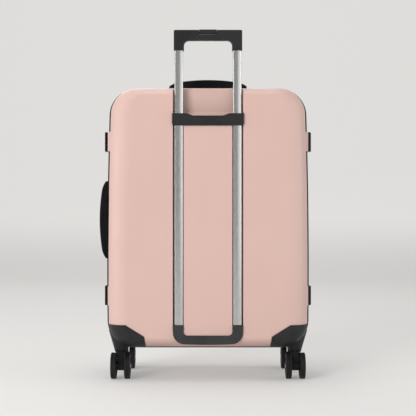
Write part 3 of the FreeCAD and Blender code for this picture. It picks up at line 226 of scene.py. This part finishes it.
def moulded_material(name, colour, worn_colour, grain=0.45 * MM, roughness=0.5, shine=0.25):
    """Moulded plastic with a spark-eroded grain and paler, smoother edges."""
    made, tree, shader = new_material(name, colour, roughness, Specular_IOR_Level=shine)
    rounded = rounded_normal(tree, MOULDED_EDGE)
    worn = edge_mask(tree, rounded)
    patches = remap(tree, noise_field(tree, WEAR_PATCH, detail=5), 0.42, 0.62)
    worn = maths(tree, "MULTIPLY", worn, maths(tree, "MULTIPLY", patches, 0.6))
    drift = remap(tree, noise_field(tree, TONE_PATCH), 0.35, 0.65)
    paler = tuple(part * 1.25 + 0.002 for part in colour)
    tone = blend_colour(tree, drift, colour, paler)
    tree.links.new(blend_colour(tree, worn, tone, worn_colour), shader.inputs["Base Color"])
    patches = noise_field(tree, SHEEN_PATCH, detail=4)
    sheen = remap(tree, patches, NOISE_LOW, NOISE_HIGH, roughness - 0.06, roughness + 0.08)
    tree.links.new(sheen, shader.inputs["Roughness"])
    height = maths(tree, "ADD", noise_field(tree, grain, detail=2), cells(tree, grain * 1.7))
    tree.links.new(bump(tree, height, MOULDED_RELIEF, 0.7, rounded), shader.inputs["Normal"])
    return made


METAL_EDGE = 0.4 * MM
BRUSH_LINE = 0.25 * MM
BRUSH_DEPTH = 0.004 * MM
BRUSH_STRETCH = 0.01
SCRATCH_PATCH = 0.018


def brushed_metal(name, colour, roughness, along, anisotropic=0.5):
    """Metal with fine brushed lines that run along one axis, and a few handling scratches."""
    made, tree, shader = new_material(name, colour, roughness, 1.0, Anisotropic=anisotropic)
    rounded = rounded_normal(tree, METAL_EDGE)
    stretch = [1.0, 1.0, 1.0]
    stretch["XYZ".index(along)] = BRUSH_STRETCH
    lines = noise_field(tree, BRUSH_LINE, stretch=stretch, detail=3)
    marks = remap(tree, noise_field(tree, SCRATCH_PATCH, detail=6, roughness=0.7), 0.57, 0.68)
    darker = tuple(part * 0.94 for part in colour)
    scratched = tuple(part * 0.7 for part in colour)
    tone = blend_colour(tree, remap(tree, lines, NOISE_LOW, NOISE_HIGH), darker, colour)
    tone = blend_colour(tree, maths(tree, "MULTIPLY", marks, 0.12), tone, scratched)
    tree.links.new(tone, shader.inputs["Base Color"])
    sheen = remap(tree, lines, NOISE_LOW, NOISE_HIGH, roughness - 0.03, roughness + 0.04)
    tree.links.new(sheen, shader.inputs["Roughness"])
    tree.links.new(bump(tree, lines, BRUSH_DEPTH, 0.3, rounded), shader.inputs["Normal"])
    return made


# bands of a wave texture of scale 1 are this many metres apart
WAVE_BAND = 0.314
SLUB_PATCH = 6 * MM
THREAD_DEPTH = 0.12 * MM


def cloth_material(name, colour, thread, weave=0.55 * MM):
    """Plain woven cloth: crossing sets of threads weave metres apart, slubs and a soft sheen."""
    made, tree, shader = new_material(name, colour, 0.85, Sheen_Weight=0.25, Sheen_Roughness=0.5)
    heights = []
    for stretch in ((1, 0, 0), (0, 1, 0), (0, 0, 1)):
        wave = add_node(tree, "ShaderNodeTexWave", wave_type="BANDS", bands_direction="DIAGONAL")
        feed(tree, wave.inputs["Vector"], coordinates(tree, stretch))
        feed(tree, wave.inputs["Scale"], WAVE_BAND / weave)
        feed(tree, wave.inputs["Distortion"], 0.6)
        feed(tree, wave.inputs["Detail Scale"], 0.4)
        heights.append(wave.outputs["Fac"])
    threads = maths(tree, "MAXIMUM", maths(tree, "MULTIPLY", heights[0], heights[2]),
                    maths(tree, "MULTIPLY", heights[1], heights[2]))
    slubs = noise_field(tree, SLUB_PATCH, detail=4)
    tone = blend_colour(tree, remap(tree, threads, 0.0, 0.8), thread, colour)
    tone = blend_colour(tree, remap(tree, slubs, 0.4, 0.7, 0.0, 0.35), tone, thread)
    tree.links.new(tone, shader.inputs["Base Color"])
    tree.links.new(bump(tree, threads, THREAD_DEPTH, 0.8), shader.inputs["Normal"])
    return made


PINK = shell_material()
BLACK = moulded_material("black_moulded", (0.013, 0.013, 0.0135), (0.05, 0.05, 0.05))
BASE_GREY = moulded_material("trolley_plastic", (0.026, 0.026, 0.0275), (0.07, 0.07, 0.07))
FORK = moulded_material("fork_plastic", (0.008, 0.008, 0.0085), (0.04, 0.04, 0.04), shine=0.2)
SOFT = moulded_material("soft_touch", (0.004, 0.004, 0.0043), (0.015, 0.015, 0.015), 0.3 * MM, 0.62,
                        shine=0.12)
TYRE = moulded_material("tyre_rubber", (0.009, 0.009, 0.009), (0.02, 0.02, 0.02), 0.6 * MM, 0.6, shine=0.2)
HUB = moulded_material("hub_plastic", (0.010, 0.010, 0.0105), (0.04, 0.04, 0.04), shine=0.25)
FRAME = brushed_metal("anodised_frame", (0.028, 0.028, 0.030), 0.42, "Z")
TUBE = brushed_metal("brushed_aluminium", (0.54, 0.55, 0.545), 0.25, "Z", anisotropic=0.2)
STEEL = brushed_metal("zinc_steel", (0.55, 0.55, 0.56), 0.32, "X")
SEAL = moulded_material("seal_rubber", (0.010, 0.010, 0.010), (0.03, 0.03, 0.03), 0.5 * MM, 0.7)
LINING = cloth_material("lining_cloth", (0.34, 0.30, 0.285), (0.20, 0.17, 0.16))
WEBBING = cloth_material("elastic_webbing", (0.060, 0.057, 0.057), (0.025, 0.024, 0.024), 0.8 * MM)


def dress(material, *names):
    """Give CAD nodes a material in place of their plain one."""
    for name in names:
        mesh = nodes[name].data
        mesh.materials.clear()
        mesh.materials.append(material)


def each(pattern, **choices):
    """All names that a pattern gives, with every choice for each of its words."""
    names = [pattern]
    for word, options in choices.items():
        names = [name.replace("{" + word + "}", option) for name in names for option in options]
    return names


LEVELS = ("upper", "lower")
dress(PINK, "rear_shell", "front_shell")
dress(FRAME, "rear_frame", "front_frame", *each("latch_keeper_{level}", level=LEVELS),
      *each("hinge_leaf_{end}_{level}", end=ENDS, level=LEVELS), *each("latch_base_{level}", level=LEVELS),
      *each("latch_lever_{level}", level=LEVELS))
dress(SEAL, "frame_seal")
dress(LINING, "rear_lining", "front_lining")
dress(WEBBING, "packing_straps")
dress(BLACK, "skid_strip", "trolley_bridge", "handle_grip", "release_button", "strap_buckle",
      "top_handle_mounts", "side_handle_mounts", "lock_plug_left", "lock_plug_right",
      *each("wheel_housing_{end}_{side}", end=ENDS, side=SIDES))
dress(FORK, *each("caster_fork_{end}_{side}", end=ENDS, side=SIDES))
dress(TYRE, *each("wheel_{end}_{side}_{place}", end=ENDS, side=SIDES, place=("inner", "outer")))
dress(BASE_GREY, "trolley_base")
dress(SOFT, "top_handle_grip", "side_handle_grip")
dress(TUBE, *each("{kind}_tube_{side}", kind=("inner", "outer"), side=SIDES), "release_rods")
dress(STEEL, "trolley_screws", "hinge_pins", "latch_pins", *each("lock_pin_{side}", side=SIDES),
      *each("caster_axle_{end}_{side}", end=ENDS, side=SIDES))


# ---------------------------------------------------------------- mesh helpers

def new_piece(name, verts, faces, material, body, replaced=()):
    """Mesh object that rides on a body and may stand for CAD nodes."""
    mesh = bpy.data.meshes.new(name)
    mesh.from_pydata([tuple(v) for v in verts], [], faces)
    mesh.validate()
    shape = bmesh.new()
    shape.from_mesh(mesh)
    bmesh.ops.recalc_face_normals(shape, faces=shape.faces)
    shape.to_mesh(mesh)
    shape.free()
    mesh.polygons.foreach_set("use_smooth", [True] * len(mesh.polygons))
    mesh.materials.append(material)
    piece = bpy.data.objects.new(name, mesh)
    bpy.context.scene.collection.objects.link(piece)
    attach(piece, body)
    if replaced:
        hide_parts(*replaced)
    return piece


def grid_faces(rows, columns, close_rows):
    """Quads between rings of columns points each; close_rows joins the last ring to the first."""
    faces = []
    for row in range(rows if close_rows else rows - 1):
        for column in range(columns):
            beside = (column + 1) % columns
            below = (row + 1) % rows
            faces.append((row * columns + column, row * columns + beside,
                          below * columns + beside, below * columns + column))
    return faces


def ring(radius, along, centre, count, lift=None):
    """Points of a circle round an axle that lies along X."""
    points = []
    for step in range(count):
        turn = 2 * math.pi * step / count
        shift = lift(radius, turn) if lift else 0.0
        points.append(centre + Vector((along + shift, radius * math.cos(turn), radius * math.sin(turn))))
    return points


WIRE_SIDES = 10


def circle_section(radius):
    """Section of a round wire, as offsets (across, up)."""
    turns = [2 * math.pi * step / WIRE_SIDES for step in range(WIRE_SIDES)]
    return [(radius * math.cos(turn), radius * math.sin(turn)) for turn in turns]


def sweep(name, path, section, material, body, closed=False, replaced=(), reach=math.inf):
    """Section, a closed list of (across, up) offsets, carried along a path across the case.

    No point goes further than reach to either side of the case's middle.
    """
    up = Vector((0, 1, 0))
    count = len(path)
    verts = []
    for index, point in enumerate(path):
        ahead = path[(index + 1) % count] if closed or index + 1 < count else point
        behind = path[index - 1] if closed or index else point
        along = (ahead - behind).normalized()
        across = along.cross(up).normalized()
        lift = across.cross(along).normalized()
        verts += [point + across * x + lift * y for x, y in section]
    for vert in verts:
        vert.x = min(max(vert.x, -reach), reach)
    sides = len(section)
    faces = grid_faces(count, sides, closed)
    if not closed:
        faces.append(tuple(range(sides)))
        faces.append(tuple(reversed(range((count - 1) * sides, count * sides))))
    return new_piece(name, verts, faces, material, body, replaced)


# ---------------------------------------------------------------- wheels

AROUND_WHEEL = 96
TYRE_ROUND = 2.2 * MM
TYRE_ROUND_STEPS = 8
TYRE_INNER = 21.3 * MM
TYRE_BEAD = 0.7 * MM
TREAD_GROOVES = (-1.4 * MM, 1.4 * MM)
GROOVE_HALF = 0.45 * MM
GROOVE_DEPTH = 0.45 * MM
GROOVE_FLOOR = 0.55

SPOKES = 6
# a pocket's share of the turn from one spoke to the next, and how far its sides ease in and out
POCKET_SHARE = 0.65
POCKET_EASE_IN = 0.05
POCKET_EASE_OUT = 0.07
POCKET_DEPTH = 1.5 * MM
POCKET_INNER = 12.1 * MM
POCKET_OUTER = 18.7 * MM
POCKET_EASE = 0.5 * MM
HUB_INSET = 0.6 * MM
AXLE_HOLE = 3.08 * MM
AXLE_HOLE_DIP = 0.5 * MM
# radius of each ring on a hub's face, from the rim inward, and its dip below the face, in mm
HUB_RIM = [(20.9, 0.9), (20.4, 0.35), (19.8, 0.1), (19.3, 0.6), (18.8, 1.0), (18.2, 1.1)]
HUB_WEB = [(17, 1.15), (15, 1.2), (13.4, 1.2), (12.6, 1.1), (12.1, 1.0), (11.6, 0.8)]
HUB_BOSS = [(11.1, 0.3), (10.6, 0.0), (9.0, 0.0), (6.6, 0.0), (6.2, 0.5)]


def smooth_step(low, high, number):
    """Zero up to low, one from high, eased between."""
    part = min(max((number - low) / (high - low), 0), 1)
    return part * part * (3 - 2 * part)


def spoke_pocket(side):
    """Depth of the pockets between a hub's spokes, as a function of radius and turn."""
    def depth(radius, turn):
        inner = smooth_step(POCKET_INNER - POCKET_EASE, POCKET_INNER + POCKET_EASE, radius)
        outer = smooth_step(POCKET_OUTER - POCKET_EASE, POCKET_OUTER + POCKET_EASE, radius)
        from_middle = abs((turn * SPOKES / (2 * math.pi)) % 1 - 0.5) * 2
        across = 1 - smooth_step(POCKET_SHARE - POCKET_EASE_IN, POCKET_SHARE + POCKET_EASE_OUT,
                                 from_middle)
        return -side * POCKET_DEPTH * inner * (1 - outer) * across
    return depth


def tyre_profile(half, radius):
    """Section of a tyre as (place across, radius): flat sides, rounded shoulders, two grooves."""
    side = [(-half, TYRE_INNER), (-half, radius - TYRE_ROUND)]
    for step in range(1, TYRE_ROUND_STEPS):
        turn = math.radians(step * 90 / TYRE_ROUND_STEPS)
        side.append((-half + TYRE_ROUND * (1 - math.cos(turn)), radius - TYRE_ROUND * (1 - math.sin(turn))))
    side.append((-half + TYRE_ROUND, radius))
    tread = []
    for groove in TREAD_GROOVES:
        for across, depth in ((-1, 0), (-GROOVE_FLOOR, 1), (GROOVE_FLOOR, 1), (1, 0)):
            tread.append((groove + across * GROOVE_HALF, radius - depth * GROOVE_DEPTH))
    other_side = [(-across, height) for across, height in reversed(side)]
    return side + tread + other_side + [(0.0, TYRE_INNER - TYRE_BEAD)]


def wheel_pieces(node):
    """Tyre and hub of one wheel, turned about the axle of its CAD node."""
    low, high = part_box(node)
    centre = (low + high) / 2
    half = (high.x - low.x) / 2
    body = node + "_body"
    profile = tyre_profile(half, (high.z - low.z) / 2)
    verts = [point for across, radius in profile for point in ring(radius, across, centre, AROUND_WHEEL)]
    faces = grid_faces(len(profile), AROUND_WHEEL, True)
    new_piece(node.replace("wheel", "tyre"), verts, faces, TYRE, body, [node])
    face = half - HUB_INSET
    rings = [(radius * MM, face - dip * MM, 1) for radius, dip in HUB_RIM + HUB_WEB + HUB_BOSS]
    rings.append((AXLE_HOLE, face - AXLE_HOLE_DIP, 1))
    rings += [(radius, -across, -1) for radius, across, _ in reversed(rings)]
    verts = []
    for radius, across, side in rings:
        verts += ring(radius, across, centre, AROUND_WHEEL, spoke_pocket(side))
    faces = grid_faces(len(rings), AROUND_WHEEL, True)
    new_piece(node.replace("wheel", "hub"), verts, faces, HUB, body)


# ---------------------------------------------------------------- packing straps

STRAP_WIDTH = 25 * MM
STRAP_THICK = 1.6 * MM
STRAP_SAG = 4 * MM
STRAP_STEPS = 40
STRAP_START = 27 * MM
TIP_REACH = 8 * MM
SLIDER_STEP = 7
SLIDER_HALF_LENGTH = 9 * MM
SLIDER_HALF_WIDTH = 15.5 * MM
SLIDER_CORNER = 3 * MM
SLIDER_WIRE = 1.7 * MM
BAR_WIRE = 1.5 * MM
BAR_SHORTER = 0.5 * MM
LOOP_CORNER_STEPS = 6


def webbing_section(width, thick):
    """Flat band with a slightly thicker rolled edge on both sides."""
    stations = [-0.5, -0.485, -0.46, -0.43, -0.3, -0.1, 0.1, 0.3, 0.43, 0.46, 0.485, 0.5]
    heights = [0.2, 0.62, 0.62, 0.45, 0.45, 0.45, 0.45, 0.45, 0.45, 0.62, 0.62, 0.2]
    top = [(width * x, thick * y) for x, y in zip(stations, heights)]
    return top + [(x, -y) for x, y in reversed(top)]


def rounded_loop(centre, half_width, half_height, radius, turn):
    """Closed path round a rectangle with rounded corners, in the plane of the straps."""
    points = []
    for corner, (x_sign, z_sign) in enumerate([(1, 1), (-1, 1), (-1, -1), (1, -1)]):
        for step in range(LOOP_CORNER_STEPS + 1):
            angle = math.radians(90 * corner + 90 * step / LOOP_CORNER_STEPS)
            x = x_sign * (half_width - radius) + radius * math.cos(angle)
            z = z_sign * (half_height - radius) + radius * math.sin(angle)
            points.append(centre + Vector((x * math.cos(turn) - z * math.sin(turn), 0,
                                           x * math.sin(turn) + z * math.cos(turn))))
    return points


def slider_pieces(place, spot, turn):
    """Slide adjuster on a strap: a wire loop with a bar across its middle."""
    loop = rounded_loop(spot, SLIDER_HALF_LENGTH, SLIDER_HALF_WIDTH, SLIDER_CORNER, turn)
    sweep(f"slider_{place}", loop, circle_section(SLIDER_WIRE), BLACK, "rear_case", closed=True)
    across = Vector((-math.sin(turn), 0, math.cos(turn))) * (SLIDER_HALF_WIDTH - BAR_SHORTER)
    lifted = spot + Vector((0, STRAP_THICK, 0))
    bar = [lifted + across * part for part in (-1, -0.5, 0, 0.5, 1)]
    sweep(f"slider_bar_{place}", bar, circle_section(BAR_WIRE), BLACK, "rear_case")


def strap_pieces():
    """Four elastic arms from the lining's corners to the buckle, each with a slide adjuster."""
    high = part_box("packing_straps")[1]
    buckle_low, buckle_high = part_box("strap_buckle")
    middle = (buckle_low + buckle_high) / 2
    corners = [vertex.co for vertex in nodes["packing_straps"].data.vertices]
    section = webbing_section(STRAP_WIDTH, STRAP_THICK)
    for side, side_name in ((-1, "left"), (1, "right")):
        for up, level in ((-1, "lower"), (1, "upper")):
            tips = [c for c in corners if c.x * side > high.x - TIP_REACH and (c.z - middle.z) * up > 0]
            tip = sum(tips, Vector()) / len(tips)
            along = (tip - middle).normalized()
            start = middle + along * STRAP_START
            path = []
            for step in range(STRAP_STEPS + 1):
                part = step / STRAP_STEPS
                sag = Vector((0, -STRAP_SAG * math.sin(math.pi * part), 0))
                path.append(start.lerp(tip, part) + sag)
            place = f"{level}_{side_name}"
            sweep(f"strap_{place}", path, section, WEBBING, "rear_case", replaced=["packing_straps"],
                  reach=max(abs(c.x) for c in tips))
            slider_pieces(place, path[SLIDER_STEP], math.atan2(along.z, along.x))


for wheel_node in each("wheel_{end}_{side}_{place}", end=ENDS, side=SIDES, place=("inner", "outer")):
    wheel_pieces(wheel_node)
strap_pieces()


# ---------------------------------------------------------------- studio

# the paper glows a little, as paper lit from behind, so that it stays even and pale
FLOOR_GLOW = (0.24, 0.238, 0.233)
WALL_GLOW = (0.43, 0.426, 0.418)
FLOOR_TONE = (0.48, 0.476, 0.468)
WALL_TONE = (0.43, 0.426, 0.418)
# the floor's tone turns into the wall's up to this height
WALL_FROM = 0.35
PAPER_ROUGHNESS = 0.95

PAPER_HALF_WIDTH = 9.0
PAPER_NEAR = -6.0
PAPER_FLAT_TO = 3.2
PAPER_BEND = 2.2
PAPER_BEND_STEPS = 18
PAPER_TOP = 8.0


def studio_paper():
    """Pale paper sweep: a floor that curves up into a wall behind the case."""
    turns = [math.radians(step * 90 / PAPER_BEND_STEPS) for step in range(1, PAPER_BEND_STEPS + 1)]
    profile = [(PAPER_NEAR, 0.0), (PAPER_FLAT_TO, 0.0)]
    profile += [(PAPER_FLAT_TO + PAPER_BEND * math.sin(turn), PAPER_BEND * (1 - math.cos(turn)))
                for turn in turns]
    profile.append((PAPER_FLAT_TO + PAPER_BEND, PAPER_TOP))
    mesh = bpy.data.meshes.new("studio_paper")
    verts = [(side * PAPER_HALF_WIDTH, y, z) for y, z in profile for side in (-1, 1)]
    faces = [(2 * i, 2 * i + 1, 2 * i + 3, 2 * i + 2) for i in range(len(profile) - 1)]
    mesh.from_pydata(verts, [], faces)
    mesh.polygons.foreach_set("use_smooth", [True] * len(faces))
    paper = bpy.data.objects.new("studio_paper", mesh)
    bpy.context.scene.collection.objects.link(paper)
    made, tree, shader = new_material("paper", FLOOR_TONE, PAPER_ROUGHNESS, Specular_IOR_Level=0.0)
    upright = remap(tree, axis_part(tree, "Z"), 0.0, WALL_FROM)
    tone = blend_colour(tree, upright, FLOOR_TONE, WALL_TONE)
    tree.links.new(tone, shader.inputs["Base Color"])
    tree.links.new(blend_colour(tree, upright, FLOOR_GLOW, WALL_GLOW), shader.inputs["Emission Color"])
    shader.inputs["Emission Strength"].default_value = 1.0
    mesh.materials.append(made)


# the middle of the case, which the soft boxes face, and a point a little lower for the key
CASE_MIDDLE = (0, 0, 0.4)
KEY_AIM = (0, 0, 0.35)
AIR_TINT = (1.0, 0.995, 0.985, 1)
AIR_STRENGTH = 0.45


def area_light(name, place, aim, size, power, mirrored=True):
    """Rectangular soft box; mirrored says whether glossy surfaces show it."""
    data = bpy.data.lights.new(name, "AREA")
    data.shape = "RECTANGLE"
    data.size, data.size_y = size
    data.energy = power
    lamp = bpy.data.objects.new(name, data)
    lamp.location = place
    lamp.visible_glossy = mirrored
    lamp.rotation_euler = (Vector(aim) - Vector(place)).to_track_quat("-Z", "Y").to_euler()
    bpy.context.scene.collection.objects.link(lamp)


def studio():
    """Paper, soft boxes and even air light."""
    studio_paper()
    area_light("key", (-2.0, -3.1, 1.5), KEY_AIM, (1.6, 1.6), 98, mirrored=False)
    area_light("rim", (-3.2, -0.55, 0.8), CASE_MIDDLE, (0.8, 2.0), 24)
    area_light("top", (-0.2, 0.15, 3.2), CASE_MIDDLE, (1.8, 1.3), 26)
    area_light("card", (2.35, -3.4, 0.6), CASE_MIDDLE, (3.6, 2.4), 30)
    area_light("side", (3.0, -0.6, 0.8), CASE_MIDDLE, (1.2, 2.2), 30)
    area_light("back_fill", (-0.7, 3.0, 2.5), CASE_MIDDLE, (2.4, 1.4), 20)
    world = bpy.data.worlds.new("studio_air")
    world.use_nodes = True
    air = world.node_tree.nodes["Background"]
    air.inputs["Color"].default_value = AIR_TINT
    air.inputs["Strength"].default_value = AIR_STRENGTH
    bpy.context.scene.world = world
    bpy.context.scene.view_settings.view_transform = "Standard"


CAMERA_BACK = 2.57
CAMERA_HEIGHT = 0.383
CAMERA_LENS = 96
SENSOR_WIDTH = 36


def camera():
    """Level camera straight behind the case, as far back as the photographer stood."""
    data = bpy.data.cameras.new("camera")
    data.lens = CAMERA_LENS
    data.sensor_width = SENSOR_WIDTH
    view = bpy.data.objects.new("camera", data)
    view.location = (0, -CAMERA_BACK, CAMERA_HEIGHT)
    view.rotation_euler = (math.radians(90), 0, 0)
    bpy.context.scene.collection.objects.link(view)
    bpy.context.scene.camera = view


studio()
camera()

bpy.context.view_layer.update()
